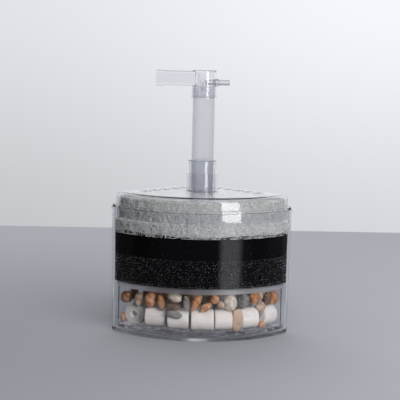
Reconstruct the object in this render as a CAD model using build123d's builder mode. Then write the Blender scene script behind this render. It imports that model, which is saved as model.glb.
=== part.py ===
from build123d import *
import math
import os

# Air-driven corner filter: a fan-shaped clear box, a domed lid, a media cartridge
# on a central core pipe, and a riser tube with a swivelling outlet.
# Millimetres. +Z is up, the curved front faces -Y, the right-angled corner is at +Y.
# The origin is on the riser's axis, in the plane that the box stands on.

# driving dimensions
box_width = 130.0            # across the two side corners, at the rim
box_height = 91.0
front_radius = 81.2          # curved front wall, outside, at the rim
corner_radius = 8.1          # upright corners, outside
wall = 2.0
draft = 0.65                 # degrees; the box narrows towards its base
base_round = 1.2
floor_round = 1.0            # inside, round the floor
rim_lip = 0.4                # how far the rim stands proud of the wall
rim_lip_height = 1.6

lid_bottom = 83.5            # lower edge of the skirt, inside the box
lid_top = 101.4
lid_wall = 1.6
lid_inset = 3.2              # outside of the dome, in from the rim's outline
lid_round = 4.0
flange_thickness = 1.5
flange_inset = 0.3
slot_length = 7.0
slot_width = 1.6
slot_pitch = 9.6
slots_per_side = 6
slot_rows = (9.0, 13.5)      # rows of inlet slots, in from the dome's straight sides
collar_radius = 11.3
collar_rib_radius = 11.8
collar_bore = 10.5           # passes over the core pipe's lip
collar_top = 114.6
collar_foot_height = 2.6
collar_rib_height = 1.2

core_radius = 9.5
core_bore = 8.05             # running fit on the riser tube
core_lip_radius = 10.15
core_lip_height = 3.0
core_top = 124.0

tube_radius = 8.0
tube_bore = 6.8
tube_bottom = 88.0
tube_top = 177.7

elbow_bottom = 169.0
elbow_seat = 178.2
elbow_top = 189.5
elbow_radius = 8.7
elbow_lip_radius = 9.25
elbow_lip_height = 1.0
elbow_lip_slope = 0.6
elbow_taper = 0.2            # the skirt widens by this towards its lip
elbow_round = 0.8
elbow_bore = 8.05            # running fit on the riser tube
elbow_chamber = 6.9
elbow_roof = 1.6
spout_reach = 35.1           # riser axis to the mouth
spout_low, spout_high = 178.2, 188.8
spout_width = 12.0
spout_wall = 1.5
spout_round = 0.9            # the duct's long outer edges
mouth_length = 5.5
mouth_step = 0.4
mouth_round = 0.35

nipple_radius = 2.0          # takes a 4 mm airline
nipple_height = 180.6
nipple_tip = 18.5
nipple_bore = 1.1
nipple_root = 2.0            # how far the nipple reaches past the riser's axis
nipple_collar_radius = 2.8
nipple_collar_length = 0.8
nipple_collar_slope = 1.5
nipple_edge = 0.4
socket_radius_air = 2.8      # the stub under the nipple that holds the air pipe
socket_low, socket_seat, socket_roof = 173.0, 177.6, 183.2
air_pipe_radius = 1.8
air_pipe_bottom = 46.0
diffuser_radius = 4.5
diffuser_length = 14.0
diffuser_seat = 4.0
diffuser_round = 1.2

grid_low, grid_high = 3.2, 5.2     # perforated floor of the cartridge
grid_rim_inset = 5.0
grid_rim_top = 7.2
grid_edge_margin = 8.8       # slots keep this far inside the rim's outline
grid_core_margin = 1.5
foot_length, foot_width = 4.0, 1.6
foot_inset = 9.5
front_feet = (-47, -28, -9, 9, 28, 47)    # degrees round the front wall
side_feet = (14, 32, 48)     # across from the back corner
basket_inset = 6.0           # outside of the basket, in from the rim's outline
basket_wall = 1.4
cover_low, cover_plate, cover_top = 33.0, 35.8, 37.2
socket_radius = 11.0
socket_top = 10.2
grid_slot_length, grid_slot_width = 10.0, 1.8
grid_pitch_x, grid_pitch_y = 13.0, 4.4

media_gap = 0.35             # between the sponges and the box wall
coarse_top = 57.2
fine_top = 74.0
floss_step = 82.8            # the floss is narrower above this, inside the lid's skirt
floss_top = 99.2
floss_round = 1.2
pad_bore = 9.8
lid_pad_gap = 0.5
ring_radius = 7.5
ring_bore = 2.4
ring_edge = 0.7
fit_gap = 0.1                # what lies loose is this far off its neighbour
snug_gap = 0.02              # what is pressed together is this far apart

# the fan outline
# Three arc centres fix the outline, and every wall is an inward offset of it.
side_x = box_width / 2 - corner_radius
front_rise = math.sqrt((front_radius - corner_radius) ** 2 - side_x**2)
box_depth = front_radius - front_rise + side_x + corner_radius
side_y = box_depth / 2 - side_x - corner_radius    # the outline's middle is on Y = 0
front_y = side_y + front_rise
apex_y = side_y + side_x
front_angle = math.degrees(math.atan2(-front_rise, side_x))


def on_circle(centre_x, centre_y, radius, angle):
    """The point of a circle at an angle in degrees from +X."""
    a = math.radians(angle)
    return (centre_x + radius * math.cos(a), centre_y + radius * math.sin(a))


def fan(inset=0.0):
    """The fan outline as a face, moved inwards by inset."""
    front = front_radius - inset
    corner = corner_radius - inset
    front_end = on_circle(side_x, side_y, corner, front_angle)
    corner_mid = on_circle(side_x, side_y, corner, (front_angle + 45) / 2)
    corner_end = on_circle(side_x, side_y, corner, 45)
    apex_start = on_circle(0, apex_y, corner, 45)
    with BuildSketch() as profile:
        with BuildLine():
            ThreePointArc((0, front_y - front), on_circle(0, front_y, front, -70), front_end)
            ThreePointArc(front_end, corner_mid, corner_end)
            Line(corner_end, apex_start)
            ThreePointArc(apex_start, on_circle(0, apex_y, corner, 70), (0, apex_y + corner))
            mirror(about=Plane.YZ)
        make_face()
    return profile.sketch


def fan_margin(x, y, inset):
    """How far a point lies inside the outline that is moved inwards by inset."""
    to_front = front_radius - math.hypot(x, y - front_y)
    to_side = (apex_y - y - abs(x)) / math.sqrt(2) + corner_radius
    return min(to_front, to_side) - inset


def wall_inset(z):
    """How far the drafted box wall's outside is in from the rim, at height z."""
    return (box_height - z) * math.tan(math.radians(draft))


def grid_places():
    """Slot centres that keep clear of the grid's rim and the core pipe."""
    places = []
    reach = grid_slot_length / 2
    for row in range(-11, 11):
        y = row * grid_pitch_y
        for column in range(-5, 6):
            x = (column + 0.5 * (row % 2)) * grid_pitch_x
            inside = min(fan_margin(x - reach, y, grid_edge_margin), fan_margin(x + reach, y, grid_edge_margin))
            off_core = math.hypot(max(abs(x) - reach, 0), y) - socket_radius
            if inside > 0 and off_core > grid_core_margin:
                places.append((x, y))
    return places


def save(piece, name):
    """Label a finished piece and write it as its own STEP file."""
    piece.label = name
    export_step(piece, f"parts/{name}.step")


os.makedirs("parts", exist_ok=True)

# outer box
with BuildPart() as outer_box:
    with BuildSketch(Plane.XY.offset(box_height)):
        add(fan())
    extrude(amount=-box_height, taper=draft)
    fillet(outer_box.edges().group_by(Axis.Z)[0], base_round)
    with BuildSketch(Plane.XY.offset(box_height)):
        add(fan(-rim_lip))
    extrude(amount=-rim_lip_height)
    with BuildSketch(Plane.XY.offset(box_height)):
        add(fan(wall))
    extrude(amount=wall - box_height, taper=draft, mode=Mode.SUBTRACT)
    floor_edges = outer_box.edges().filter_by_position(Axis.Z, wall - snug_gap, wall + snug_gap)
    fillet(floor_edges, floor_round)
save(outer_box.part, "outer_box")

# lid
side_run = math.radians(45)
with BuildPart() as lid:
    with BuildSketch(Plane.XY.offset(lid_bottom)):
        add(fan(lid_inset))
    extrude(amount=lid_top - lid_bottom)
    fillet(lid.edges().group_by(Axis.Z)[-1], lid_round)
    with BuildSketch(Plane.XY.offset(box_height)):
        add(fan(flange_inset))
    extrude(amount=flange_thickness)
    with BuildSketch(Plane.XY.offset(lid_bottom)):
        add(fan(lid_inset + lid_wall))
    extrude(amount=lid_top - lid_wall - lid_bottom, mode=Mode.SUBTRACT)
    ceiling = lid_top - lid_wall
    ceiling_edges = lid.edges().filter_by_position(Axis.Z, ceiling - snug_gap, ceiling + snug_gap)
    fillet(ceiling_edges, lid_round - lid_wall)
    with BuildSketch(Plane.XY.offset(lid_top - lid_wall)):
        Circle(collar_rib_radius)
    extrude(amount=lid_wall + collar_foot_height)
    with BuildSketch(Plane.XY.offset(lid_top)):
        Circle(collar_radius)
    extrude(amount=collar_top - lid_top)
    with BuildSketch(Plane.XY.offset(collar_top)):
        Circle(collar_rib_radius)
    extrude(amount=-collar_rib_height)
    with BuildSketch(Plane.XY.offset(lid_top)):
        for side in (-1, 1):
            for row in slot_rows:
                inward = corner_radius - lid_inset - row
                for i in range(slots_per_side):
                    along = (i - (slots_per_side - 1) / 2) * slot_pitch
                    x = side_x / 2 + inward * math.cos(side_run) - along * math.sin(side_run)
                    y = side_y + side_x / 2 + (inward + along) * math.sin(side_run)
                    with Locations(Location((side * x, y), side * -45)):
                        SlotOverall(slot_length, slot_width)
    extrude(amount=-lid_wall, mode=Mode.SUBTRACT)
    with BuildSketch(Plane.XY.offset(lid_bottom)):
        Circle(collar_bore)
    extrude(amount=collar_top - lid_bottom, mode=Mode.SUBTRACT)
save(lid.part, "lid")

# cartridge: grid, basket, cover
with BuildPart() as base_grid:
    with BuildSketch(Plane.XY.offset(grid_low)):
        add(fan(grid_rim_inset))
    extrude(amount=grid_rim_top - grid_low)
    with BuildSketch(Plane.XY.offset(grid_high)):
        add(fan(basket_inset - fit_gap))
    extrude(amount=grid_rim_top - grid_high, mode=Mode.SUBTRACT)
    with BuildSketch(Plane.XY.offset(grid_high)):
        Circle(socket_radius)
        Circle(core_radius + snug_gap, mode=Mode.SUBTRACT)
    extrude(amount=socket_top - grid_high)
    with BuildSketch(Plane.XY.offset(grid_low)):
        with Locations(*grid_places()):
            SlotOverall(grid_slot_length, grid_slot_width)
        Circle(core_bore)
    extrude(amount=grid_high - grid_low, mode=Mode.SUBTRACT)
    with BuildSketch(Plane.XY.offset(wall)):
        for angle in front_feet:
            with Locations(Location(on_circle(0, front_y, front_radius - foot_inset, angle - 90), angle)):
                Rectangle(foot_length, foot_width)
        for side in (-1, 1):
            for x in side_feet:
                y = apex_y - x + (corner_radius - foot_inset) * math.sqrt(2)
                with Locations(Location((side * x, y), side * -45)):
                    Rectangle(foot_length, foot_width)
    extrude(amount=grid_low - wall)
save(base_grid.part, "base_grid")

with BuildPart() as media_basket:
    with BuildSketch(Plane.XY.offset(grid_high)):
        add(fan(basket_inset))
        add(fan(basket_inset + basket_wall), mode=Mode.SUBTRACT)
    extrude(amount=cover_plate - grid_high)
save(media_basket.part, "media_basket")

with BuildPart() as basket_cover:
    with BuildSketch(Plane.XY.offset(cover_low)):
        add(fan(grid_rim_inset))
    extrude(amount=cover_top - cover_low)
    with BuildSketch(Plane.XY.offset(cover_low)):
        add(fan(basket_inset - fit_gap))
    extrude(amount=cover_plate - cover_low, mode=Mode.SUBTRACT)
    with BuildSketch(Plane.XY.offset(cover_plate)):
        with Locations(*grid_places()):
            SlotOverall(grid_slot_length, grid_slot_width)
        Circle(pad_bore)
    extrude(amount=cover_top - cover_plate, mode=Mode.SUBTRACT)
save(basket_cover.part, "basket_cover")

# core pipe and riser
with BuildPart() as core_pipe:
    with BuildSketch(Plane.XY.offset(grid_high)):
        Circle(core_radius)
    extrude(amount=core_top - grid_high)
    with BuildSketch(Plane.XY.offset(core_top)):
        Circle(core_lip_radius)
    extrude(amount=-core_lip_height)
    fillet(core_pipe.edges().group_by(Axis.Z)[-1], 0.5)
    with Locations((0, 0, core_top)):
        Hole(core_bore)
save(core_pipe.part, "core_pipe")

with BuildPart() as lift_tube:
    with BuildSketch(Plane.XY.offset(tube_bottom)):
        Circle(tube_radius)
        Circle(tube_bore, mode=Mode.SUBTRACT)
    extrude(amount=tube_top - tube_bottom)
save(lift_tube.part, "lift_tube")

spout_tall = spout_high - spout_low
mouth_plane = Plane(origin=(-spout_reach, 0, (spout_low + spout_high) / 2), x_dir=(0, 1, 0), z_dir=(1, 0, 0))
with BuildPart() as outlet_elbow:
    with BuildSketch(Plane.XZ):
        with BuildLine():
            Polyline(
                (0, elbow_bottom),
                (elbow_lip_radius, elbow_bottom),
                (elbow_lip_radius, elbow_bottom + elbow_lip_height),
                (elbow_radius + elbow_taper, elbow_bottom + elbow_lip_height + elbow_lip_slope),
                (elbow_radius, elbow_seat),
                (elbow_radius, elbow_top),
                (0, elbow_top),
                close=True,
            )
        make_face()
    revolve(axis=Axis.Z)
    fillet(outlet_elbow.edges().group_by(Axis.Z)[-1], elbow_round)
    with BuildSketch(mouth_plane):
        RectangleRounded(spout_width, spout_tall, spout_round)
    extrude(amount=spout_reach)
    with BuildSketch(mouth_plane):
        RectangleRounded(spout_width + 2 * mouth_step, spout_tall + 2 * mouth_step, spout_round)
    extrude(amount=mouth_length)
    fillet(outlet_elbow.faces().sort_by(Axis.X)[0].edges(), mouth_round)
    with BuildSketch(Plane.XY.offset(elbow_bottom)):
        Circle(elbow_bore)
    extrude(amount=elbow_seat - elbow_bottom, mode=Mode.SUBTRACT)
    with BuildSketch(Plane.XY.offset(elbow_seat)):
        Circle(elbow_chamber)
    extrude(amount=elbow_top - elbow_roof - elbow_seat, mode=Mode.SUBTRACT)
    with BuildSketch(mouth_plane):
        Rectangle(spout_width - 2 * spout_wall, spout_tall - 2 * spout_wall)
    extrude(amount=spout_reach, mode=Mode.SUBTRACT)
    with BuildSketch(Plane.YZ.offset(elbow_chamber - 1)):
        with Locations((0, nipple_height)):
            Circle(nipple_radius + snug_gap)
    extrude(amount=elbow_radius, mode=Mode.SUBTRACT)
save(outlet_elbow.part, "outlet_elbow")

# air path
collar_start = elbow_radius + fit_gap
collar_end = collar_start + nipple_collar_length
with BuildPart() as air_nipple:
    with BuildSketch(Plane.XZ):
        with BuildLine():
            Polyline(
                (-nipple_root, nipple_height),
                (-nipple_root, nipple_height + nipple_radius),
                (collar_start, nipple_height + nipple_radius),
                (collar_start, nipple_height + nipple_collar_radius),
                (collar_end, nipple_height + nipple_collar_radius),
                (collar_end + nipple_collar_slope, nipple_height + nipple_radius),
                (nipple_tip - nipple_edge, nipple_height + nipple_radius),
                (nipple_tip, nipple_height + nipple_radius - nipple_edge),
                (nipple_tip, nipple_height),
                close=True,
            )
        make_face()
    revolve(axis=Axis((0, 0, nipple_height), (1, 0, 0)))
    with BuildSketch(Plane.XY.offset(socket_low)):
        Circle(socket_radius_air)
    extrude(amount=socket_roof - socket_low)
    with BuildSketch(Plane.YZ):
        with Locations((0, nipple_height)):
            Circle(nipple_bore)
    extrude(amount=nipple_tip, mode=Mode.SUBTRACT)
    with BuildSketch(Plane.XY.offset(socket_seat)):
        Circle(nipple_bore + fit_gap)
    extrude(amount=nipple_height - socket_seat, mode=Mode.SUBTRACT)
    with BuildSketch(Plane.XY.offset(socket_low)):
        Circle(air_pipe_radius + snug_gap)
    extrude(amount=socket_seat - socket_low, mode=Mode.SUBTRACT)
save(air_nipple.part, "air_nipple")

with BuildPart() as air_pipe:
    with BuildSketch(Plane.XY.offset(air_pipe_bottom)):
        Circle(air_pipe_radius)
        Circle(nipple_bore, mode=Mode.SUBTRACT)
    extrude(amount=socket_seat - air_pipe_bottom)
save(air_pipe.part, "air_pipe")

with BuildPart() as air_diffuser:
    with BuildSketch(Plane.XY.offset(air_pipe_bottom + diffuser_seat - diffuser_length)):
        Circle(diffuser_radius)
    extrude(amount=diffuser_length)
    fillet(air_diffuser.edges(), diffuser_round)
    with BuildSketch(Plane.XY.offset(air_pipe_bottom)):
        Circle(air_pipe_radius + snug_gap)
    extrude(amount=diffuser_seat, mode=Mode.SUBTRACT)
save(air_diffuser.part, "air_diffuser")


# filter pads
def drafted_pad(low, high):
    """A pad that fills the box wall to wall, around the core pipe."""
    with BuildPart() as pad:
        with BuildSketch(Plane.XY.offset(high)):
            add(fan(wall + media_gap + wall_inset(high)))
        extrude(amount=low - high, taper=draft)
        with Locations((0, 0, high)):
            Hole(pad_bore)
    return pad


coarse_sponge = drafted_pad(cover_top, coarse_top - fit_gap)
save(coarse_sponge.part, "coarse_sponge")
fine_sponge = drafted_pad(coarse_top, fine_top - fit_gap)
save(fine_sponge.part, "fine_sponge")

with BuildPart() as floss_pad:
    with BuildSketch(Plane.XY.offset(fine_top)):
        add(fan(wall + media_gap + wall_inset(fine_top)))
    extrude(amount=floss_step - fine_top)
    with BuildSketch(Plane.XY.offset(floss_step)):
        add(fan(lid_inset + lid_wall + lid_pad_gap))
    extrude(amount=floss_top - floss_step)
    fillet(floss_pad.edges().group_by(Axis.Z)[-1], floss_round)
    with Locations((0, 0, floss_top)):
        Hole(pad_bore)
save(floss_pad.part, "floss_pad")

# ceramic rings
# Each lies on the grid: x, y, turn of its axis from +X in degrees, and length.
rings = (
    (-44.2, -14.0, 62, 12.5),
    (-30.6, -24.6, -14, 14.5),
    (-15.0, -31.0, -8, 15.0),
    (1.2, -34.3, 0, 16.0),
    (15.8, -31.8, 5, 12.0),
    (33.0, -24.9, 24, 13.0),
    (46.2, -13.6, 45, 13.0),
    (-30.4, -4.6, 48, 15.0),
    (-16.6, -13.0, -35, 15.0),
    (1.2, -18.3, 4, 15.0),
    (18.2, -12.1, 80, 15.0),
    (29.2, 2.0, -45, 15.0),
    (-16.5, 9.5, 45, 15.0),
    (14.8, 11.4, -50, 15.0),
    (-1.0, 25.6, 45, 14.0),
)
for number, (x, y, turn, length) in enumerate(rings, start=1):
    lying = Plane(
        origin=(x, y, grid_high + ring_radius + fit_gap),
        x_dir=(0, 0, 1),
        z_dir=(math.cos(math.radians(turn)), math.sin(math.radians(turn)), 0),
    )
    with BuildPart() as ceramic_ring:
        with BuildSketch(lying):
            Circle(ring_radius)
        extrude(amount=length / 2, both=True)
        chamfer(ceramic_ring.edges(), ring_edge)
        with BuildSketch(lying):
            Circle(ring_bore)
        extrude(amount=length / 2, both=True, mode=Mode.SUBTRACT)
    save(ceramic_ring.part, f"ceramic_ring_{number:02d}")

# pebbles
# Those behind the front wall: x, y, z, then half sizes along the wall, into the
# basket and upwards, and the lean to the side in degrees.
front_pebbles = (
    (-52.5, -14.7, 24.6, 3.4, 3.6, 4.5, 0),
    (-47.6, -9.8, 25.6, 3.3, 3.2, 4.6, 10),
    (-43.3, -22.6, 24.6, 3.5, 3.0, 4.9, 10),
    (-35.6, -28.2, 25.4, 3.9, 3.6, 5.0, 5),
    (-28.2, -32.2, 24.8, 2.8, 3.0, 4.9, -12),
    (-18.4, -36.0, 28.6, 4.8, 3.2, 3.0, 0),
    (-18.8, -36.6, 22.5, 5.1, 2.6, 2.7, 4),
    (-18.4, -39.2, 17.4, 5.2, 1.1, 2.7, 6),
    (-10.2, -38.9, 25.2, 2.4, 2.4, 5.2, -10),
    (-3.4, -38.6, 26.4, 2.7, 2.6, 6.0, 30),
    (3.0, -39.3, 22.7, 2.5, 2.0, 4.8, 58),
    (14.0, -38.4, 24.6, 2.4, 2.4, 2.6, 0),
    (20.9, -34.6, 25.4, 4.3, 4.2, 5.3, 0),
    (30.2, -31.0, 26.0, 3.6, 3.4, 4.9, 10),
    (37.9, -27.2, 27.4, 3.4, 3.4, 3.9, -8),
    (42.9, -24.4, 20.9, 3.4, 2.6, 3.6, 20),
    (47.6, -18.6, 25.4, 3.2, 3.1, 4.7, 0),
    (52.5, -14.2, 25.6, 3.2, 3.3, 4.7, 0),
    (25.9, -35.5, 13.5, 3.9, 2.0, 8.1, 0),
    (-54.6, -15.6, 9.2, 1.5, 1.8, 3.6, 0),
    (43.8, -24.9, 7.9, 2.5, 2.2, 2.5, 0),
    (9.4, -38.2, 28.8, 3.1, 3.0, 3.5, 0),
    (42.4, -21.6, 29.0, 2.4, 2.6, 3.4, 0),
)
for number, (x, y, z, along, across, up, lean) in enumerate(front_pebbles, start=1):
    follow = math.degrees(math.asin(x / front_radius))
    stone = scale(Sphere(1), by=(along, across, up))
    with BuildPart() as pebble:
        with Locations(Location((x, y, z), (0, lean, follow))):
            add(stone)
    save(pebble.part, f"pebble_{number:02d}")

# Those further back lie on the rings in three sorts, on a staggered grid.
heap_pitch = 10.4
heap_radius = 5.1
heap_level = 26.0
heap_height = 5.2
heap_flatness = (1.0, 0.9, 0.8, 0.95)


def heap_places():
    """Spots clear of the basket's wall, the core pipe and the front pebbles."""
    places = []
    for row in range(-6, 7):
        for column in range(-6, 7):
            x = (column + 0.5 * (row % 2)) * heap_pitch
            y = row * heap_pitch * math.sqrt(3) / 2
            off_wall = fan_margin(x, y, basket_inset + basket_wall)
            off_core = math.hypot(x, y) - core_radius
            off_front = min(math.hypot(x - p[0], y - p[1]) - max(p[3:6]) for p in front_pebbles)
            if min(off_wall, off_core, off_front) > heap_radius + fit_gap:
                places.append((x, y))
    return places


sorts = ("pebbles_tan", "pebbles_brown", "pebbles_grey")
heaps = {name: [] for name in sorts}
for number, (x, y) in enumerate(heap_places()):
    flat = heap_flatness[number % len(heap_flatness)]
    stone = scale(Sphere(1), by=(heap_radius, heap_radius * flat, heap_height * flat))
    placed = Pos(x, y, heap_level) * Rot(0, 0, 50 * number) * stone
    heaps[sorts[number * 2 % 7 % 3]].append(placed)
for name, stones in heaps.items():
    with BuildPart() as heap:
        add(stones)
    save(heap.part, name)
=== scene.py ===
import math
import random

import bmesh
import bpy
import numpy as np
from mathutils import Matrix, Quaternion, Vector, geometry, noise


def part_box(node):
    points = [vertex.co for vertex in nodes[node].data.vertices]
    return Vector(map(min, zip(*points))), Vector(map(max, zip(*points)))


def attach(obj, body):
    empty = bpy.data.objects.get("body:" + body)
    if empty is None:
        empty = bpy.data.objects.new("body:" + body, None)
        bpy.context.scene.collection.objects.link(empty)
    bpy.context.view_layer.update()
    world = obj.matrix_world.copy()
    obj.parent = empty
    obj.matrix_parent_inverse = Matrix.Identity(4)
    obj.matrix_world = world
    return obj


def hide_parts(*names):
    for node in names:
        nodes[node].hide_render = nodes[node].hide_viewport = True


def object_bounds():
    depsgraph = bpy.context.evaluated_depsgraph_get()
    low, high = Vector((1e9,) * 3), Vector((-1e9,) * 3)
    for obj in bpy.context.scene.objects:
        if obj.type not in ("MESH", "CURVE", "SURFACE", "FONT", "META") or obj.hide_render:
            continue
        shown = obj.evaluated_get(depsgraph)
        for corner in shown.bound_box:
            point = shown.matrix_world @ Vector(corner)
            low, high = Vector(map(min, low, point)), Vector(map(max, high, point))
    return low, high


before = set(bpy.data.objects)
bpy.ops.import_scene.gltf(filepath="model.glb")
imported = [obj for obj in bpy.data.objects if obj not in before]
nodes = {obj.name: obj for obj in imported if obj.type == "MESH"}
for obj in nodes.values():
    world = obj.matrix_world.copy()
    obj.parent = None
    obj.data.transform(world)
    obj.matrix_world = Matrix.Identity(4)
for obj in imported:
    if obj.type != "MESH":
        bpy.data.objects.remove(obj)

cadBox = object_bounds()
low, high = cadBox
middle = (low + high) / 2
mm = 0.001


# shader building

class Wire:  # one output socket; sums, differences and products of it add Math nodes
    def __init__(self, tree, socket):
        self.tree = tree
        self.socket = socket

    def out(self, name):
        return Wire(self.tree, self.socket.node.outputs[name])

    def maths(self, operation, first, second):
        return self.tree.node("Math", {"operation": operation}, {0: first, 1: second})

    def __add__(self, other):
        return self.maths("ADD", self, other)

    __radd__ = __add__

    def __mul__(self, other):
        return self.maths("MULTIPLY", self, other)

    __rmul__ = __mul__

    def __sub__(self, other):
        return self.maths("SUBTRACT", self, other)

    def __rsub__(self, other):
        return self.maths("SUBTRACT", other, self)

    def between(self, start, end):  # 0 before start, 1 after end, smooth in between
        return self.tree.node(
            "MapRange",
            {"interpolation_type": "SMOOTHSTEP"},
            {"Value": self, "From Min": start, "From Max": end},
        )


class Tree:  # the nodes of one material, or of the world
    def __init__(self, owner):
        owner.use_nodes = True
        self.made = owner.node_tree.nodes
        self.links = owner.node_tree.links
        self.made.clear()

    def node(self, kind, settings=None, values=None):
        new = self.made.new("ShaderNode" + kind)
        for name, value in (settings or {}).items():
            setattr(new, name, value)
        for name, value in (values or {}).items():
            if isinstance(value, Wire):
                self.links.new(value.socket, new.inputs[name])
            else:
                new.inputs[name].default_value = value
        return Wire(self, new.outputs[0]) if new.outputs else None

    def blend(self, share, first, second, how="MIX"):
        values = {0: share, 6: first, 7: second}
        return self.node("Mix", {"data_type": "RGBA", "blend_type": how}, values).out(2)

    def place(self):  # metres in the object's own frame
        return self.node("TexCoord").out("Object")

    def cloud(self, place, size, detail=4, rough=0.55):  # noise whose lumps are about that size
        values = {"Vector": place, "Scale": 1 / size, "Detail": detail, "Roughness": rough}
        return self.node("TexNoise", {}, values)

    def cells(self, place, size):
        return self.node("TexVoronoi", {}, {"Vector": place, "Scale": 1 / size})

    def bump(self, height, depth, strength=1.0, under=None):
        values = {"Height": height, "Distance": depth, "Strength": strength}
        if under is not None:
            values["Normal"] = under
        return self.node("Bump", {}, values)


def linear(red, green, blue):  # a colour given 0 to 255, as scene light
    parts = [c / 255 for c in (red, green, blue)]
    return tuple(c / 12.92 if c < 0.04 else ((c + 0.055) / 1.055) ** 2.4 for c in parts)


def opaque(*rgb):
    return (*linear(*rgb), 1)


# meshes

def meshFrom(name, points, faces, body, material):
    mesh = bpy.data.meshes.new(name)
    mesh.from_pydata([tuple(p) for p in points], [], [tuple(f) for f in faces])
    mesh.update()
    mesh.polygons.foreach_set("use_smooth", [True] * len(mesh.polygons))
    mesh.materials.append(material)
    made = bpy.data.objects.new(name, mesh)
    bpy.context.scene.collection.objects.link(made)
    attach(made, body)
    return made


def verticesOf(mesh):
    flat = np.empty(len(mesh.vertices) * 3)
    mesh.vertices.foreach_get("co", flat)
    return flat.reshape(-1, 3)


def roughen(made, lumps, seed):  # lumps: list of (size, depth); moves the skin in by up to each depth
    mesh = made.data
    points = verticesOf(mesh)
    normals = np.empty(len(points) * 3)
    mesh.vertices.foreach_get("normal", normals)
    normals = normals.reshape(-1, 3)
    shift = Vector((seed * 1.7, seed * 0.9, seed * 2.3))
    for k, point in enumerate(points):
        sunk = 0
        for size, depth in lumps:
            sunk += depth * (0.5 + 0.5 * noise.noise(Vector(point) / size + shift))
        points[k] = point - normals[k] * sunk
    mesh.vertices.foreach_set("co", points.ravel())
    mesh.update()


def outlineAt(node, height, count):  # a node's outline at one height, evenly spaced from front centre
    mesh = nodes[node].data
    mesh.calc_loop_triangles()
    points = verticesOf(mesh)
    corners = np.array([t.vertices[:] for t in mesh.loop_triangles])
    cuts = []
    for a, b in ((0, 1), (1, 2), (2, 0)):
        start = points[corners[:, a]]
        end = points[corners[:, b]]
        crossing = (start[:, 2] - height) * (end[:, 2] - height) < 0
        start = start[crossing]
        end = end[crossing]
        share = (height - start[:, 2]) / (end[:, 2] - start[:, 2])
        cuts.append(start[:, :2] + (end - start)[:, :2] * share[:, None])
    cuts = np.concatenate(cuts)
    hull = cuts[geometry.convex_hull_2d([tuple(c) for c in cuts])]
    following = np.roll(hull, -1, axis=0)
    if (hull[:, 0] * following[:, 1] - hull[:, 1] * following[:, 0]).sum() < 0:
        hull = hull[::-1]
        following = np.roll(hull, -1, axis=0)
    crossing = np.nonzero((hull[:, 0] <= 0) & (following[:, 0] > 0) & (hull[:, 1] < 0))[0][0]
    here = hull[crossing]
    there = following[crossing]
    front = here + (there - here) * (-here[0] / (there[0] - here[0]))
    line = np.vstack([front, np.roll(hull, -crossing - 1, axis=0), front])
    lengths = np.hypot(*np.diff(line, axis=0).T)
    travelled = np.concatenate([[0], np.cumsum(lengths)])
    wanted = np.linspace(0, travelled[-1], count, endpoint=False)
    return np.stack([np.interp(wanted, travelled, line[:, k]) for k in (0, 1)], axis=1)


def headings(angles):
    return np.stack([np.cos(angles), np.sin(angles)], axis=1)


def outwards(line):  # unit normals of a closed outline that runs anticlockwise
    along = np.roll(line, -1, axis=0) - np.roll(line, 1, axis=0)
    along /= np.hypot(*along.T)[:, None]
    return np.stack([along[:, 1], -along[:, 0]], axis=1)


class PadShape:  # where a pad's skin lies: round the outline, up its height, and how deep under the skin
    def __init__(self, node, count, steps):
        corner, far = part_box(node)
        self.bottom = corner.z
        self.top = far.z
        self.count = count
        self.heights = np.linspace(self.bottom + 0.02 * mm, self.top - 0.02 * mm, steps)
        self.lines = np.array([outlineAt(node, h, count) for h in self.heights])
        self.normals = np.array([outwards(line) for line in self.lines])
        first = self.lines[0]
        self.length = np.hypot(*(np.roll(first, -1, axis=0) - first).T).sum()
        points = verticesOf(nodes[node].data)
        self.hole = np.hypot(points[:, 0], points[:, 1]).min()

    def at(self, along, height, depth):  # along is 0 to 1 round the outline
        column = np.asarray(along) % 1 * self.count
        left = column.astype(int) % self.count
        right = (left + 1) % self.count
        share = (column - column.astype(int))[..., None]
        level = np.clip(np.searchsorted(self.heights, height), 0, len(self.heights) - 1)
        line = self.lines[level, left] * (1 - share) + self.lines[level, right] * share
        normal = self.normals[level, left] * (1 - share) + self.normals[level, right] * share
        flat = line - normal * np.asarray(depth)[..., None]
        return np.concatenate([flat, np.asarray(height)[..., None]], axis=-1)


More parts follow.
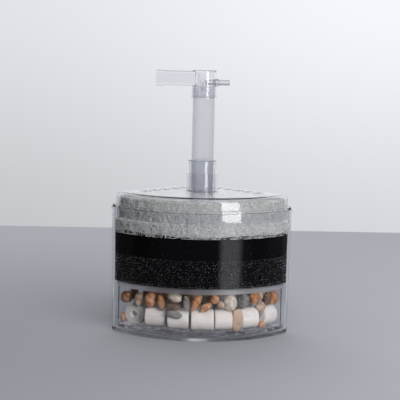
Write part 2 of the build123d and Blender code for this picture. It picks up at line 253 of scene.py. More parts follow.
def padMesh(name, shape, plan, body, material):
    around = np.arange(plan["around"]) / plan["around"]
    loop = [(math.cos(a) * 1.6, math.sin(a) * 1.6, plan["seed"]) for a in around * math.tau]
    dip = plan["wave"] * mm * (0.5 + np.array([noise.noise(Vector(spot)) for spot in loop]))
    # pads with one seed share this wave, so the edge between them stays closed
    headDip = dip * plan["headShare"]
    footDip = dip * plan["footShare"]
    rows = []
    steps = plan["wall"]
    rounding = plan["rounding"] * mm
    for k in range(steps + 1):
        share = k / steps
        height = shape.bottom + (shape.top - shape.bottom) * share
        fromEnd = min(share, 1 - share) * (shape.top - shape.bottom)
        short = max(rounding - fromEnd, 0)
        pull = rounding - math.sqrt(rounding ** 2 - short ** 2)
        inset = plan["inset"] * mm + pull
        row = shape.at(around, np.full(len(around), height), np.full(len(around), inset))
        row[:, 2] -= headDip * share + footDip * (1 - share)
        rows.append(row)
    hole = shape.hole + plan["inset"] * mm
    angles = np.arctan2(rows[0][:, 1], rows[0][:, 0])
    ring = headings(angles) * hole

    def across(edge, height, count):  # rows from the outline in to the hole
        made = []
        for k in range(1, count):
            share = k / count
            row = np.empty_like(edge)
            row[:, :2] = edge[:, :2] * (1 - share) + ring * share
            row[:, 2] = edge[:, 2] * (1 - share) ** 2 + height * (1 - (1 - share) ** 2)
            made.append(row)
        return made

    topRows = across(rows[-1], shape.top, plan["across"])
    bottomRows = across(rows[0], shape.bottom, plan["across"])
    holeRows = []
    for k in range(plan["holeWall"] + 1):
        height = shape.top + (shape.bottom - shape.top) * k / plan["holeWall"]
        holeRows.append(np.column_stack([ring, np.full(len(ring), height)]))
    rows = rows + topRows + holeRows + bottomRows[::-1]
    columns = len(around)
    count = len(rows)
    faces = []
    for r in range(count):
        for c in range(columns):
            nextRow = (r + 1) % count * columns
            nextColumn = (c + 1) % columns
            faces.append((r * columns + c, r * columns + nextColumn, nextRow + nextColumn, nextRow + c))
    made = meshFrom(name, np.concatenate(rows), faces, body, material)
    roughen(made, [(size * mm, depth * mm) for size, depth in plan["lumps"]], plan["seed"])
    return made


def rods(name, lines, radii, sides, body, material):  # one thin rod along each line of points
    lines = np.asarray(lines)
    count, steps, _ = lines.shape
    along = np.empty_like(lines)
    along[:, 1:-1] = lines[:, 2:] - lines[:, :-2]
    along[:, 0] = lines[:, 1] - lines[:, 0]
    along[:, -1] = lines[:, -1] - lines[:, -2]
    along /= np.linalg.norm(along, axis=2)[..., None] + 1e-12
    helper = np.zeros_like(along)
    upright = np.abs(along[:, :1, 2]) > 0.8
    helper[..., 0] = upright
    helper[..., 2] = ~upright
    first = np.cross(along, helper)
    first /= np.linalg.norm(first, axis=2)[..., None] + 1e-12
    second = np.cross(along, first)
    angles = np.arange(sides)[:, None] * math.tau / sides
    ring = first[:, :, None, :] * np.cos(angles) + second[:, :, None, :] * np.sin(angles)
    points = lines[:, :, None, :] + ring * np.asarray(radii)[..., None, None]
    numbers = np.arange(count * steps * sides).reshape(count, steps, sides)
    around = np.roll(numbers, -1, axis=2)
    quads = np.stack([numbers[:, :-1], around[:, :-1], around[:, 1:], numbers[:, 1:]], axis=-1)
    faces = list(quads.reshape(-1, 4)) + list(numbers[:, 0, ::-1]) + list(numbers[:, -1])
    return meshFrom(name, points.reshape(-1, 3), faces, body, material)


# clear plastics

clearLook = {
    "shine": 0.5,
    "polish": 0.012,
    "smudge": 0.05,
    "smudgeSize": 14,
    "scratchSize": 0.8,
    "flowSize": 22,
    "footFrom": 1.2,  # the frosted standing edge fades out between these heights
    "footTo": 4.0,
    "footRough": 0.13,
    "ripple": 0.02,
    "scratch": 0.002,
}
clearParts = {  # tint, how much it bends light, times the polished roughness, and the nodes made of it
    "clear shell plastic": ((249, 249, 251), 1.49, 1, ["outer_box", "lid", "outlet_elbow", "air_nipple"]),
    # the core pipe's plastic is tinted darker than the shell: painted shade on the core and collar
    "clear core plastic": ((237, 238, 240), 1.49, 1, ["core_pipe"]),
    "clear basket plastic": ((251, 251, 252), 1.49, 1.5, ["media_basket", "base_grid"]),
    "satin plastic": ((245, 245, 247), 1.35, 30, ["lift_tube"]),
    "frosted plastic": ((247, 247, 248), 1.49, 34, ["basket_cover"]),
    "thin pipe plastic": ((254, 254, 255), 1.06, 1, ["air_pipe"]),
}


def clearPlastic(name, tint, bend, cloudy):
    material = bpy.data.materials.new(name)
    tree = Tree(material)
    place = tree.place()
    smudges = tree.cloud(place, clearLook["smudgeSize"] * mm, 5, 0.6).between(0.5, 0.8)
    drawn = tree.node("Mapping", {}, {"Vector": place, "Scale": (1, 1, 0.12)})  # stretched upwards
    scratches = tree.cloud(drawn, clearLook["scratchSize"] * mm, 3)
    flow = tree.cloud(place, clearLook["flowSize"] * mm, 2, 0.4)
    normal = tree.bump(flow, clearLook["ripple"] * mm, 0.5)
    normal = tree.bump(scratches, clearLook["scratch"] * mm, 0.3, normal)
    colour = tree.blend(smudges * 0.5, opaque(*tint), opaque(*[c - 2 for c in tint]))
    height = tree.node("SeparateXYZ", {}, {0: place}).out("Z")
    foot = 1 - height.between(clearLook["footFrom"] * mm, clearLook["footTo"] * mm)
    polish = clearLook["polish"] * cloudy
    plastic = tree.node("BsdfPrincipled", {}, {
        "Base Color": colour,
        "Roughness": smudges * clearLook["smudge"] + foot * clearLook["footRough"] + polish,
        "IOR": bend,
        "Specular IOR Level": clearLook["shine"],
        "Transmission Weight": 1,
        "Normal": normal,
    })
    through = tree.node("BsdfTransparent", {}, {"Color": opaque(*[min(c + 2, 255) for c in tint])})
    path = tree.node("LightPath").out("Is Shadow Ray")
    shown = tree.node("MixShader", {}, {0: path, 1: plastic, 2: through})
    tree.node("OutputMaterial", {}, {"Surface": shown})
    return material


def paintNode(node, material):
    holder = nodes[node]
    holder.data.materials.clear()
    holder.data.materials.append(material)


for name, (tint, bend, cloudy, parts) in clearParts.items():
    plastic = clearPlastic(name, tint, bend, cloudy)
    for node in parts:
        paintNode(node, plastic)
print("clear plastics done")


# air stone

stoneBar = {
    "grain": 0.5,
    "grainDepth": 0.15,
    "blotch": 2.5,
    "dark": (150, 152, 150),
    "pale": (188, 188, 182),
    "pit": (110, 112, 112),
}


def airStone():
    material = bpy.data.materials.new("air stone")
    tree = Tree(material)
    place = tree.place()
    grains = tree.cells(place, stoneBar["grain"] * mm)
    blotches = tree.cloud(place, stoneBar["blotch"] * mm)
    colour = tree.blend(blotches, opaque(*stoneBar["dark"]), opaque(*stoneBar["pale"]))
    grained = tree.node("BsdfPrincipled", {}, {
        "Base Color": tree.blend(grains.between(0.1, 0.7) * 0.4, colour, opaque(*stoneBar["pit"])),
        "Roughness": 0.9,
        "Normal": tree.bump(grains, stoneBar["grainDepth"] * mm),
    })
    tree.node("OutputMaterial", {}, {"Surface": grained})
    return material


paintNode("air_diffuser", airStone())


# white wadding

flossPlan = {
    "around": 420,
    "wall": 34,
    "across": 26,
    "holeWall": 10,
    "inset": 0.5,
    "rounding": 2.2,
    "wave": 1.6,
    "headShare": 0.0,
    "footShare": 1.0,
    "seed": 4,
    "lumps": [(6.0, 0.9), (1.6, 0.5), (0.8, 0.25)],
    "fibres": 3000,
    "topFibres": 900,
    "fibreSteps": 9,
    "fibreStep": 0.95,
    "topStep": 1.1,
    "fibreRadius": 0.11,
    "battTone": (250, 252, 247),
    "fibreTone": (248, 250, 248),
    "paintedGapShade": 104,  # painted shade: how much darker the gaps between strands are
    "clumpShade": 34,
    "clump": 5,
    "strand": 0.5,
    "strandDepth": 0.25,
}


def strandNoise(tree, place, turn, stretch):  # two of these, crossing, look like tangled hairs
    drawn = tree.node("Mapping", {}, {"Vector": place, "Rotation": turn, "Scale": stretch})
    return tree.cloud(drawn, flossPlan["strand"] * mm, 6, 0.8)


def wadding(name, tone, rough, shaded):
    material = bpy.data.materials.new(name)
    tree = Tree(material)
    place = tree.place()
    hairs = strandNoise(tree, place, (0.4, 0.7, 0.2), (1, 1, 0.35))
    crossed = strandNoise(tree, place, (1.2, 0.2, 0.9), (0.35, 1, 1))
    strands = tree.node("Math", {"operation": "MAXIMUM"}, {0: hairs, 1: crossed})
    colour = opaque(*tone)
    if shaded:
        paintedGapTone = opaque(*[c - flossPlan["paintedGapShade"] for c in tone])
        clump = opaque(*[c - flossPlan["clumpShade"] for c in tone])
        clumps = tree.cloud(place, flossPlan["clump"] * mm, 6, 0.7)
        # painted shade in the gaps between strands; the clumps below are darker at random
        colour = tree.blend(strands.between(0.45, 0.75), paintedGapTone, colour)
        colour = tree.blend(clumps.between(0.35, 0.7) * 0.45, colour, clump)
    soft = tree.node("BsdfPrincipled", {}, {
        "Base Color": colour,
        "Roughness": rough,
        "Sheen Weight": 0.3,
        "Sheen Roughness": 0.5,
        "Normal": tree.bump(strands, flossPlan["strandDepth"] * mm),
    })
    tree.node("OutputMaterial", {}, {"Surface": soft})
    return material


def flossFibres(shape, plan, material):
    draw = np.random.default_rng(11)
    count = plan["fibres"]
    steps = plan["fibreSteps"]
    tall = shape.top - shape.bottom
    along = draw.random(count)
    height = shape.bottom + tall * draw.random(count) ** 1.5
    heading = draw.random(count) * math.tau
    depth = (0.15 + 0.6 * draw.random(count)) * mm
    lines = np.empty((count, steps, 3))
    for k in range(steps):
        kept = np.clip(height, shape.bottom - 1.2 * mm, shape.top - 0.6 * mm)
        lines[:, k] = shape.at(along, kept, depth)
        heading += draw.normal(0, 0.55, count)
        along += np.cos(heading) * plan["fibreStep"] * mm / shape.length
        height += np.sin(heading) * plan["fibreStep"] * mm
        depth = np.clip(depth + draw.normal(0, 0.18, count) * mm, 0.1 * mm, 1.1 * mm)
    topCount = plan["topFibres"]
    place = draw.random(topCount)
    share = 0.05 + 0.9 * draw.random(topCount)
    heading = draw.random(topCount) * math.tau
    edge = shape.at(place, np.full(topCount, shape.top), np.full(topCount, 2 * mm))
    rim = headings(np.arctan2(edge[:, 1], edge[:, 0])) * shape.hole
    spot = edge[:, :2] * (1 - share)[:, None] + rim * share[:, None]
    rise = draw.random(topCount) * 0.5 * mm
    topLines = np.empty((topCount, steps, 3))
    for k in range(steps):
        topLines[:, k, :2] = spot
        topLines[:, k, 2] = shape.top - 0.9 * mm + rise
        heading += draw.normal(0, 0.5, topCount)
        spot = spot + headings(heading) * plan["topStep"] * mm
        rise = np.clip(rise + draw.normal(0, 0.15, topCount) * mm, 0, 0.8 * mm)
    lines = np.concatenate([lines, topLines])
    taper = np.interp(np.linspace(0, 1, steps), [0, 0.2, 0.8, 1], [0.4, 1, 1, 0.4])
    radii = (0.7 + 0.6 * draw.random(len(lines)))[:, None] * taper * plan["fibreRadius"] * mm
    rods("flossFibres", lines, radii, 3, "cartridge", material)


battMaterial = wadding("white wadding", flossPlan["battTone"], 0.9, True)
fibreMaterial = wadding("wadding fibres", flossPlan["fibreTone"], 0.45, False)
flossShape = PadShape("floss_pad", 420, 40)
flossBatt = padMesh("flossBatt", flossShape, flossPlan, "cartridge", battMaterial)
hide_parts("floss_pad")
flossFibres(flossShape, flossPlan, fibreMaterial)
print("wadding done")


# black foams

finePlan = {
    "around": 460,
    "wall": 30,
    "across": 10,
    "holeWall": 6,
    "inset": 0.45,
    "rounding": 0.8,
    "wave": 1.6,
    "headShare": 1.0,
    "footShare": 0.0,
    "seed": 4,
    "lumps": [(3.0, 0.25), (0.9, 0.35)],
}
coarsePlan = {
    "around": 300,
    "wall": 18,
    "across": 8,
    "holeWall": 4,
    "inset": 2.4,
    "rounding": 1.0,
    "wave": 0.0,
    "headShare": 0.0,
    "footShare": 0.0,
    "seed": 9,
    "lumps": [(2.4, 1.0), (1.1, 0.5)],
    "cell": 2.3,
    "jitter": 0.62,
    "layers": [(0.7, 1.1), (2.0, 0.8)],  # depth under the skin and how much it varies, mm
    "strut": 0.27,
    "waist": 0.6,
}
foamLook = {
    # painted shade: pit is the darker colour in the pores, rim the colour round them
    "pit": (3, 3, 4),
    "rim": (9, 9, 11),
    "dust": (16, 16, 18),
    # painted glint: pale specks that stand in for light caught by the struts
    "paintedGlint": (206, 208, 212),
    "paintedGlintSize": 0.6,
    "paintedGlintPlace": (0.655, 0.695),  # the noise between these turns into painted glint specks
    "paintedSideGlints": 0.025,
}


def blackFoam(name, cell, depth, rough, shine, paintedGlints=0):
    material = bpy.data.materials.new(name)
    tree = Tree(material)
    place = tree.place()
    pores = tree.cells(place, cell * mm)
    dust = tree.cloud(place, 3 * mm, 5)
    # painted shade in the pores, rims lighter
    colour = tree.blend(pores.between(0.1, 0.6), opaque(*foamLook["pit"]), opaque(*foamLook["rim"]))
    colour = tree.blend(dust.between(0.55, 0.8) * 0.35, colour, opaque(*foamLook["dust"]))
    if paintedGlints:  # pale specks of film left between the struts, painted bright as glints; more of them towards the sides, painted light there
        sideways = tree.node("SeparateXYZ", {}, {0: place}).out("X")
        across = tree.node("Math", {"operation": "ABSOLUTE"}, {0: sideways})
        paintedGlintSpots = tree.cloud(place, foamLook["paintedGlintSize"] * mm, 1)
        paintedGlintSpots = paintedGlintSpots + across.between(0.02, 0.06) * foamLook["paintedSideGlints"]
        paintedGlintSpots = paintedGlintSpots.between(*foamLook["paintedGlintPlace"]) * paintedGlints
        colour = tree.blend(paintedGlintSpots, colour, opaque(*foamLook["paintedGlint"]))
    foam = tree.node("BsdfPrincipled", {}, {
        "Base Color": colour,
        "Roughness": dust * 0.2 + rough,
        "Specular IOR Level": shine,
        "Normal": tree.bump(pores, depth * mm),
    })
    tree.node("OutputMaterial", {}, {"Surface": foam})
    return material


def foamNet(shape, plan, material):  # struts join the middles of neighbouring triangles, two layers deep
    draw = np.random.default_rng(23)
    columns = round(shape.length / (plan["cell"] * mm))
    wide = shape.length / columns
    tall = wide * math.sqrt(3) / 2
    levels = round((shape.top - shape.bottom) / tall)
    tall = (shape.top - shape.bottom) / levels
    rows = levels + 3
    triangles = []
    for j in range(rows - 1):
        odd = j % 2
        for i in range(columns):
            here = j * columns + i
            beside = j * columns + (i + 1) % columns
            above = (j + 1) * columns + i
            aboveBeside = (j + 1) * columns + (i + 1) % columns
            if odd:
                triangles.append((here, beside, aboveBeside))
                triangles.append((here, aboveBeside, above))
            else:
                triangles.append((here, beside, above))
                triangles.append((beside, aboveBeside, above))
    sharing = {}
    for number, (a, b, c) in enumerate(triangles):
        for pair in ((a, b), (b, c), (c, a)):
            sharing.setdefault(tuple(sorted(pair)), []).append(number)
    links = np.array([pair for pair in sharing.values() if len(pair) == 2])
    triangles = np.array(triangles)
    layers = []
    for depth, vary in plan["layers"]:
        column, row = np.meshgrid(np.arange(columns), np.arange(rows))
        across = column + 0.5 * (row % 2) + draw.normal(0, plan["jitter"] / 2, column.shape)
        up = row - 1 + draw.normal(0, plan["jitter"] / 2, column.shape)
        across = across.ravel()
        up = up.ravel()
        corners = across[triangles]  # a triangle over the seam keeps its corners together
        corners = np.where(corners - corners[:, :1] > columns / 2, corners - columns, corners)
        corners = np.where(corners - corners[:, :1] < -columns / 2, corners + columns, corners)
        middleAcross = corners.mean(axis=1) / columns
        middleUp = shape.bottom + up[triangles].mean(axis=1) * tall
        middleUp = np.clip(middleUp, shape.bottom + 0.3 * mm, shape.top - 0.3 * mm)
        sunk = (depth + vary * (draw.random(len(triangles)) - 0.5)) * mm
        layers.append(shape.at(middleAcross, middleUp, sunk))
    outer, inner = layers
    starts = np.concatenate([outer[links[:, 0]], inner[links[:, 0]], outer])
    ends = np.concatenate([outer[links[:, 1]], inner[links[:, 1]], inner])
    long = np.linalg.norm(ends - starts, axis=1)
    kept = (long > 0.3 * mm) & (long < 2.6 * plan["cell"] * mm)
    starts = starts[kept]
    ends = ends[kept]
    lines = np.stack([starts, (starts + ends) / 2, ends], axis=1)
    waist = np.array([1, plan["waist"], 1])
    radii = (0.8 + 0.5 * draw.random(len(lines)))[:, None] * waist * plan["strut"] * mm
    rods("coarseFoamNet", lines, radii, 4, "cartridge", material)


fineShape = PadShape("fine_sponge", 460, 8)
fineFoam = padMesh("fineFoam", fineShape, finePlan, "cartridge",
                   blackFoam("fine black foam", 0.7, 0.3, 0.75, 0.02))
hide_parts("fine_sponge")
coarseShape = PadShape("coarse_sponge", 460, 8)
coarseFoam = padMesh("coarseFoam", coarseShape, coarsePlan, "cartridge",
                     blackFoam("coarse foam core", 1.6, 0.5, 0.8, 0.0))
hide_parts("coarse_sponge")
# the last number sets how strongly the painted glints show
foamNet(coarseShape, coarsePlan, blackFoam("coarse foam struts", 0.9, 0.1, 0.14, 0.35, 0.6))
print("foams done")


# ceramic rings

ringPlan = {
    "segments": 72,
    "rounding": 0.7,
    "boreRounding": 0.35,
    "pitting": [(1.2, 0.09), (0.45, 0.05)],
    "pore": 0.55,
    "poreDepth": 0.12,
    "grain": 0.3,
    "grainDepth": 0.08,
    "stain": 6,
    "fired": (252, 246, 237),
    "stained": (240, 230, 216),
    "pored": (190, 180, 166),
}


def ceramic():
    material = bpy.data.materials.new("white ceramic")
    tree = Tree(material)
    place = tree.place()
    pores = tree.cells(place, ringPlan["pore"] * mm)
    grain = tree.cloud(place, ringPlan["grain"] * mm, 4)
    stains = tree.cloud(place, ringPlan["stain"] * mm, 5)
    pitted = tree.bump(pores, ringPlan["poreDepth"] * mm)
    stains = stains.between(0.35, 0.75)
    colour = tree.blend(stains, opaque(*ringPlan["fired"]), opaque(*ringPlan["stained"]))
    colour = tree.blend(1 - pores.between(0.02, 0.2), colour, opaque(*ringPlan["pored"]))
    fired = tree.node("BsdfPrincipled", {}, {
        "Base Color": colour,
        "Roughness": grain * 0.2 + 0.65,
        "Specular IOR Level": 0.3,
        "Normal": tree.bump(grain, ringPlan["grainDepth"] * mm, 0.7, pitted),
    })
    tree.node("OutputMaterial", {}, {"Surface": fired})
    return material


def arcPoints(centre, radius, start, end, count):
    turn = [math.radians(start + (end - start) * k / count) for k in range(count + 1)]
    return [(centre[0] + radius * math.cos(t), centre[1] + radius * math.sin(t)) for t in turn]


def ceramicRing(number, material):
    node = f"ceramic_ring_{number:02d}"
    mesh = nodes[node].data
    corner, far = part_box(node)
    centre = (corner + far) / 2
    facing = {}
    for polygon in mesh.polygons:  # the end faces are the largest flat ones
        if abs(polygon.normal.z) < 0.1:
            side = polygon.normal if polygon.normal.x > 0 else -polygon.normal
            key = (round(side.x, 2), round(side.y, 2))
            facing[key] = facing.get(key, 0) + polygon.area
    axis = Vector((*max(facing, key=facing.get), 0)).normalized()
    points = verticesOf(mesh) - np.array(centre)
    half = np.abs(points @ np.array(axis)).max()
    radius = (far.z - corner.z) / 2
    fromAxis = np.linalg.norm(points - np.outer(points @ np.array(axis), np.array(axis)), axis=1)
    bore = fromAxis.min()
    rounding = ringPlan["rounding"] * mm
    boreRounding = ringPlan["boreRounding"] * mm
    face = radius - rounding - bore - boreRounding  # the flat of an end face
    profile = [(-half + rounding + (2 * half - 2 * rounding) * k / 14, radius) for k in range(15)]
    profile += arcPoints((half - rounding, radius - rounding), rounding, 90, 0, 4)[1:]
    profile += [(half, radius - rounding - face * k / 5) for k in range(1, 6)]
    profile += arcPoints((half - boreRounding, bore + boreRounding), boreRounding, 0, -90, 3)[1:]
    profile += [(half - boreRounding - (2 * half - 2 * boreRounding) * k / 8, bore) for k in range(1, 9)]
    profile += arcPoints((-half + boreRounding, bore + boreRounding), boreRounding, 270, 180, 3)[1:]
    profile += [(-half, bore + boreRounding + face * k / 5) for k in range(1, 6)]
    profile += arcPoints((-half + rounding, radius - rounding), rounding, 180, 90, 4)[1:-1]
    upright = Vector((0, 0, 1))
    beside = axis.cross(upright)
    segments = ringPlan["segments"]
    draw = random.Random(number)
    squeeze = draw.uniform(0.0, 0.12)
    turned = draw.uniform(0, math.tau)
    made = []
    for k in range(segments):
        angle = math.tau * k / segments
        spoke = beside * math.cos(angle) + upright * math.sin(angle)
        narrow = squeeze * (0.5 + 0.5 * math.cos(2 * (angle - turned)))
        for reach, out in profile:
            oval = 1 - narrow * max(0, 1 - (out - bore) / (2 * mm))  # the bore isn't quite round
            made.append(centre + axis * reach + spoke * out * oval)
    size = len(profile)
    faces = []
    for k in range(segments):
        for p in range(size):
            after = (k + 1) % segments * size
            faces.append((k * size + p, after + p, after + (p + 1) % size, k * size + (p + 1) % size))
    ring = meshFrom(f"ceramicRing{number:02d}", made, faces, "cartridge", material)
    roughen(ring, [(size * mm, depth * mm) for size, depth in ringPlan["pitting"]], number)
    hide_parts(node)


ringMaterial = ceramic()
for number in range(1, 16):
    ceramicRing(number, ringMaterial)
print("ceramic rings done")


# pebbles

stoneLooks = {  # base, veins, speckles, roughness
    "pebble_brown": ((178, 118, 76), (98, 60, 38), (206, 160, 120), 0.5),
    "pebble_dark": ((108, 80, 60), (54, 42, 36), (160, 130, 104), 0.45),
    "pebble_beige": ((206, 178, 148), (160, 118, 84), (232, 214, 190), 0.55),
    "pebble_orange": ((206, 142, 94), (152, 88, 52), (232, 190, 150), 0.5),
    "pebble_cream": ((218, 206, 184), (178, 160, 134), (238, 230, 214), 0.55),
    "pebble_grey": ((134, 130, 122), (96, 94, 90), (178, 174, 166), 0.5),
}
stonePlan = {
    "detail": 4,
    "swell": 0.13,
    "chips": 6,
    "chipDepth": 0.75,
    "chipReach": (0.72, 0.92),
    "pit": 0.012,
    "striped": 19,
    "shrink": 0.86,  # makes up for what the chips take away
    "groupSeed": 40,
    "swirl": 5,
    "twist": 0.004,
    "bandScale": 90,
    "stripeScale": 260,
    "grain": 0.9,
    "grainDepth": 0.08,
    "patch": 2.6,
    "dot": 0.6,
    "dotDepth": 0.06,
}
groupSlots = {
    "pebbles_tan": "pebble_beige",
    "pebbles_brown": "pebble_brown",
    "pebbles_grey": "pebble_grey",
}


def stone(name, look, banded=False):
    base, vein, speckle, rough = look
    material = bpy.data.materials.new(name)
    tree = Tree(material)
    place = tree.place()
    swirl = tree.cloud(place, stonePlan["swirl"] * mm, 5, 0.65)
    bands = tree.node("TexWave", {"wave_type": "BANDS", "bands_direction": "DIAGONAL"}, {
        "Vector": tree.blend(stonePlan["twist"], place, swirl.out("Color"), "ADD"),
        "Scale": stonePlan["stripeScale"] if banded else stonePlan["bandScale"],
        "Distortion": 2,
        "Detail": 4,
        "Detail Scale": 1.5,
    })
    grains = tree.cells(place, stonePlan["grain"] * mm)
    patches = tree.cloud(place, stonePlan["patch"] * mm, 5, 0.7)
    dots = tree.cloud(place, stonePlan["dot"] * mm, 3, 0.7)
    grained = tree.bump(grains, stonePlan["grainDepth"] * mm, 0.5)
    colour = tree.blend(swirl.between(0.35, 0.7) * 0.7, opaque(*base), opaque(*speckle))
    colour = tree.blend(bands.between(0.5, 0.9) * (0.9 if banded else 0.55), colour, opaque(*vein))
    colour = tree.blend(patches.between(0.5, 0.62) * 0.75, colour, opaque(*vein))
    colour = tree.blend(dots.between(0.58, 0.68) * 0.7, colour, opaque(*speckle))
    worn = tree.node("BsdfPrincipled", {}, {
        "Base Color": colour,
        "Roughness": patches * 0.25 + (rough - 0.12),
        "Specular IOR Level": 0.4,
        "Normal": tree.bump(dots, stonePlan["dotDepth"] * mm, 0.6, grained),
    })
    tree.node("OutputMaterial", {}, {"Surface": worn})
    return material


def pebble(name, points, material, seed):
    centre = (points.max(axis=0) + points.min(axis=0)) / 2
    _, axes = np.linalg.eigh(np.cov((points - centre).T))
    reach = np.abs((points - centre) @ axes).max(axis=0)
    draw = random.Random(seed)
    start = Vector([draw.uniform(-50, 50) for _ in range(3)])
    chips = []
    for _ in range(stonePlan["chips"]):
        facing = Vector([draw.gauss(0, 1) for _ in range(3)]).normalized()
        chips.append((facing, draw.uniform(*stonePlan["chipReach"])))
    shell = bmesh.new()
    bmesh.ops.create_icosphere(shell, subdivisions=stonePlan["detail"], radius=1)
    for vertex in shell.verts:
        spot = vertex.co.copy()
        swell = noise.noise(spot * 1.1 + start) * stonePlan["swell"]
        swell += noise.noise(spot * 2.6 + start) * stonePlan["swell"] * 0.4
        spot *= 1 + swell
        for facing, limit in chips:
            over = spot.dot(facing) - limit
            if over > 0:
                spot -= facing * over * stonePlan["chipDepth"]
        spot *= 1 + stonePlan["pit"] * noise.noise(spot * 9 + start)
        vertex.co = spot
    size = max(max(abs(c) for c in vertex.co) for vertex in shell.verts) * stonePlan["shrink"]
    turn = np.array([tuple(vertex.co) for vertex in shell.verts]) / size
    made = centre + (turn * reach) @ axes.T
    faces = [[v.index for v in face.verts] for face in shell.faces]
    shell.free()
    if np.linalg.det(axes) < 0:
        faces = [face[::-1] for face in faces]
    return meshFrom(name, made, faces, "cartridge", material)


def islandsOf(node):
    joined = bmesh.new()
    joined.from_mesh(nodes[node].data)
    bmesh.ops.remove_doubles(joined, verts=joined.verts, dist=0.001 * mm)
    left = set(joined.verts)
    found = []
    while left:
        edge = [left.pop()]
        island = []
        while edge:
            vertex = edge.pop()
            island.append(tuple(vertex.co))
            for link in vertex.link_edges:
                other = link.other_vert(vertex)
                if other in left:
                    left.remove(other)
                    edge.append(other)
        found.append(np.array(island))
    joined.free()
    return sorted(found, key=lambda points: tuple(points.mean(axis=0)))


stoneMaterials = {slot: stone(slot + " stone", look) for slot, look in stoneLooks.items()}
stripedStone = stone("striped stone", stoneLooks["pebble_beige"], banded=True)
frontPebbles = sorted(node for node in nodes if node.startswith("pebble_"))
for number, node in enumerate(frontPebbles, 1):
    slot = nodes[node].data.materials[0].name
    look = stripedStone if number == stonePlan["striped"] else stoneMaterials[slot]
    made = pebble(f"stone{number:02d}", verticesOf(nodes[node].data), look, number)
    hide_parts(node)
for node, slot in groupSlots.items():
    for number, points in enumerate(islandsOf(node), 1):
        seed = stonePlan["groupSeed"] + number + len(node)
        made = pebble(f"{slot.split('_')[1]}Stone{number}", points, stoneMaterials[slot], seed)
        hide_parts(node)
print("pebbles done")


# table, light and camera

studio = {
    "tableFar": 0.47,
    "tableNear": -6.0,
    "tableHalf": 5.0,
    # painted shade on the table to the left and near the front, painted light to the right and far back
    "paintedShadeLeftTone": (144, 146, 151),
    "paintedLightRightTone": (180, 182, 187),
    "paintedLightFarTone": (174, 176, 181),
    "mottleTone": (150, 152, 157),
    "mottle": 0.12,
    "mottleSize": 0.09,
    "paintedShadeSideFade": (-0.2, 0.3),
    "paintedShadeNearFade": -0.1,
    "unmirroredFrom": (0.13, 0.18),  # from the object's axis
    "unmirroredUpTo": (0.05, 0.15),  # towards the back
    "boxAim": (0.015, -0.045),
    "boxAway": 0.5,
    "boxAngle": 32,
    "boxWide": 0.19,
    "boxTall": 0.42,
    "boxRadiance": 10.0,
    "frontWay": (0.4, -1, 0.9),
    "frontRadiance": 2.65,
    "backWay": (-0.2, 1, 0.8),
    "backRadiance": 0.9,
    "fillWide": 2.4,
    "fillAway": 2.0,
}
cameraPlan = {
    "lens": 103.7,
    "eye": (-0.0240, -0.8404, 0.1081),  # from the middle of the object
    "aim": (-0.0014, -0.0076, 0.0007),
    "roll": 1.28,
    "sensor": 36,
    "nearest": 0.01,
    "farthest": 20,
}
room = {  # how bright each direction is; flags and pool are in radians from straight back or front
    "tint": (0.98, 1.0, 1.045, 1),
    "lowTone": 0.38,
    "tableGain": 0.21,
    "tableRise": (-0.3, -0.16),
    "wallGain": 0.26,
    "wallRise": (-0.2, 0.06),
    "leftShare": 0.9,
    "rightGain": 0.2,
    "sideRise": (-0.2, 0.2),
    "ceiling": ((0.5, 0.64), (0.84, 0.92)),
    "ceilingShade": 0.7,
    "backFlags": ((0.95, 1.05), (1.30, 1.40)),
    "frontFlags": ((1.75, 1.85), (2.10, 2.20)),
    "flagShade": 0.75,
    "frontRise": (0.1, 0.7),
    "frontShade": 0.3,
    "floorFall": (0.09, 0.13),
    "floorBack": (-0.5, -0.1),
    "floorShade": 0.95,
    "pool": ((0.30, 0.44), (0.66, 0.84)),
    "poolGain": 0.65,
}


def tableTop():
    half = studio["tableHalf"]
    far = studio["tableFar"]
    near = studio["tableNear"]
    mesh = bpy.data.meshes.new("tableTop")
    level = low.z - 0.02 * mm
    corners = [(-half, near, level), (half, near, level), (half, far, level), (-half, far, level)]
    mesh.from_pydata(corners, [], [(0, 1, 2, 3)])
    material = bpy.data.materials.new("pale table")
    tree = Tree(material)
    place = tree.place()
    sides = tree.node("SeparateXYZ", {}, {0: place})
    along = sides.out("Y")
    sideways = sides.out("X").between(*studio["paintedShadeSideFade"])
    mottle = tree.cloud(place, studio["mottleSize"], 6)
    # painted shade darkens the table to the left and near the front; painted light brightens it to the
    # right and far back
    colour = tree.blend(sideways, opaque(*studio["paintedShadeLeftTone"]), opaque(*studio["paintedLightRightTone"]))
    colour = tree.blend(along.between(studio["paintedShadeNearFade"], far), colour, opaque(*studio["paintedLightFarTone"]))
    colour = tree.blend(mottle * studio["mottle"], colour, opaque(*studio["mottleTone"]))
    values = {"Base Color": colour, "Roughness": 0.8, "Specular IOR Level": 0.0}
    matt = tree.node("BsdfPrincipled", {}, values)
    fromAxis = tree.node("VectorMath", {"operation": "LENGTH"}, {0: place}).out("Value")
    away = fromAxis.between(*studio["unmirroredFrom"])
    mirrored = tree.node("LightPath").out("Glossy Depth").between(0.4, 0.6)
    hidden = mirrored * away  # further out, the walls mirror a dark room and not the table
    hidden = hidden * (1 - along.between(*studio["unmirroredUpTo"]))
    clear = tree.node("BsdfTransparent")
    shown = tree.node("MixShader", {}, {0: hidden, 1: matt, 2: clear})
    tree.node("OutputMaterial", {}, {"Surface": shown})
    mesh.materials.append(material)
    top = bpy.data.objects.new("tableTop", mesh)
    bpy.context.scene.collection.objects.link(top)


def within(value, window):  # 1 in the window, 0 outside it
    start, end = window
    return value.between(*start) * (1 - value.between(*end))


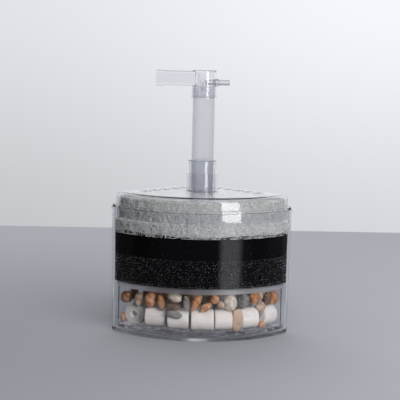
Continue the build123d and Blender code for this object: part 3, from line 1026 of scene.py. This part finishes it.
def roomLight():
    world = bpy.data.worlds.new("studio")
    bpy.context.scene.world = world
    tree = Tree(world)
    sides = tree.node("SeparateXYZ", {}, {0: tree.node("TexCoord").out("Generated")})
    across = sides.out("X")
    up = sides.out("Z")
    back = sides.out("Y")
    front = 0 - back
    tone = room["lowTone"] + up.between(*room["tableRise"]) * room["tableGain"]
    tone = tone + up.between(*room["wallRise"]) * room["wallGain"]
    tone = tone * (room["leftShare"] + across.between(*room["sideRise"]) * room["rightGain"])
    ceiling = within(up, room["ceiling"])
    sideways = tree.node("Math", {"operation": "ABSOLUTE"}, {0: across})
    bearing = tree.node("Math", {"operation": "ARCTAN2"}, {0: sideways, 1: back})
    flags = within(bearing, room["backFlags"]) + within(bearing, room["frontFlags"])  # dark cards
    floor = (0 - up).between(*room["floorFall"]) * front.between(*room["floorBack"])
    fromFront = tree.node("Math", {"operation": "ARCTAN2"}, {0: across, 1: front})
    pool = within(fromFront, room["pool"]) * floor  # light on the floor, to the right
    tone = tone * (1 - flags * room["flagShade"]) * (1 - ceiling * room["ceilingShade"])
    tone = tone * (1 - front.between(*room["frontRise"]) * room["frontShade"])
    tone = tone * (1 - floor * room["floorShade"]) + pool * room["poolGain"]
    sky = tree.node("Background", {}, {"Color": room["tint"], "Strength": tone})
    tree.node("OutputWorld", {}, {"Surface": sky})


def areaLight(name, shape, size, radiance, area, spot, away):  # shines from spot + away back to spot
    light = bpy.data.lights.new(name, "AREA")
    light.shape = shape
    light.size = size
    light.energy = radiance * math.pi * area
    holder = bpy.data.objects.new(name, light)
    bpy.context.scene.collection.objects.link(holder)
    holder.location = spot + away
    holder.rotation_mode = "QUATERNION"
    holder.rotation_quaternion = (-away).to_track_quat("-Z", "Y")
    holder.visible_camera = False
    holder.visible_transmission = False
    return holder


def softBox():
    wide = studio["boxWide"]
    tall = studio["boxTall"]
    angle = math.radians(studio["boxAngle"])
    away = Vector((math.sin(angle), -math.cos(angle), 0)) * studio["boxAway"]
    spot = Vector((*studio["boxAim"], tall / 2))
    holder = areaLight("softBox", "RECTANGLE", wide, studio["boxRadiance"], wide * tall, spot, away)
    holder.data.size_y = tall
    unlit = bpy.data.collections.new("unlit")  # it would burn out the table, and the tube from behind
    for shaded in (bpy.data.objects["tableTop"], nodes["lift_tube"]):
        unlit.objects.link(shaded)
    for entry in unlit.collection_objects:
        entry.light_linking.link_state = "EXCLUDE"
    holder.light_linking.receiver_collection = unlit


def fillLight(name, way, radiance):  # lights what is matt; nothing mirrors it or shows it through plastic
    wide = studio["fillWide"]
    away = Vector(way).normalized() * studio["fillAway"]
    holder = areaLight(name, "DISK", wide, radiance, math.pi * (wide / 2) ** 2, middle, away)
    holder.visible_glossy = False


def camera():
    data = bpy.data.cameras.new("camera")
    data.lens = cameraPlan["lens"]
    data.sensor_width = cameraPlan["sensor"]
    data.clip_start = cameraPlan["nearest"]
    data.clip_end = cameraPlan["farthest"]
    holder = bpy.data.objects.new("camera", data)
    bpy.context.scene.collection.objects.link(holder)
    holder.location = middle + Vector(cameraPlan["eye"])
    gaze = Vector(cameraPlan["aim"]) - Vector(cameraPlan["eye"])
    roll = Quaternion((0, 0, 1), math.radians(cameraPlan["roll"]))
    holder.rotation_mode = "QUATERNION"
    holder.rotation_quaternion = gaze.to_track_quat("-Z", "Y") @ roll
    bpy.context.scene.camera = holder


tableTop()
roomLight()
softBox()
fillLight("frontFill", studio["frontWay"], studio["frontRadiance"])
fillLight("backFill", studio["backWay"], studio["backRadiance"])
camera()
scene = bpy.context.scene
scene.view_settings.view_transform = "Standard"
scene.cycles.max_bounces = 40
scene.cycles.transmission_bounces = 36
scene.cycles.glossy_bounces = 16
scene.cycles.diffuse_bounces = 4
scene.cycles.transparent_max_bounces = 64
scene.cycles.caustics_reflective = False
scene.cycles.caustics_refractive = False
scene.cycles.sample_clamp_indirect = 4
print("studio done")
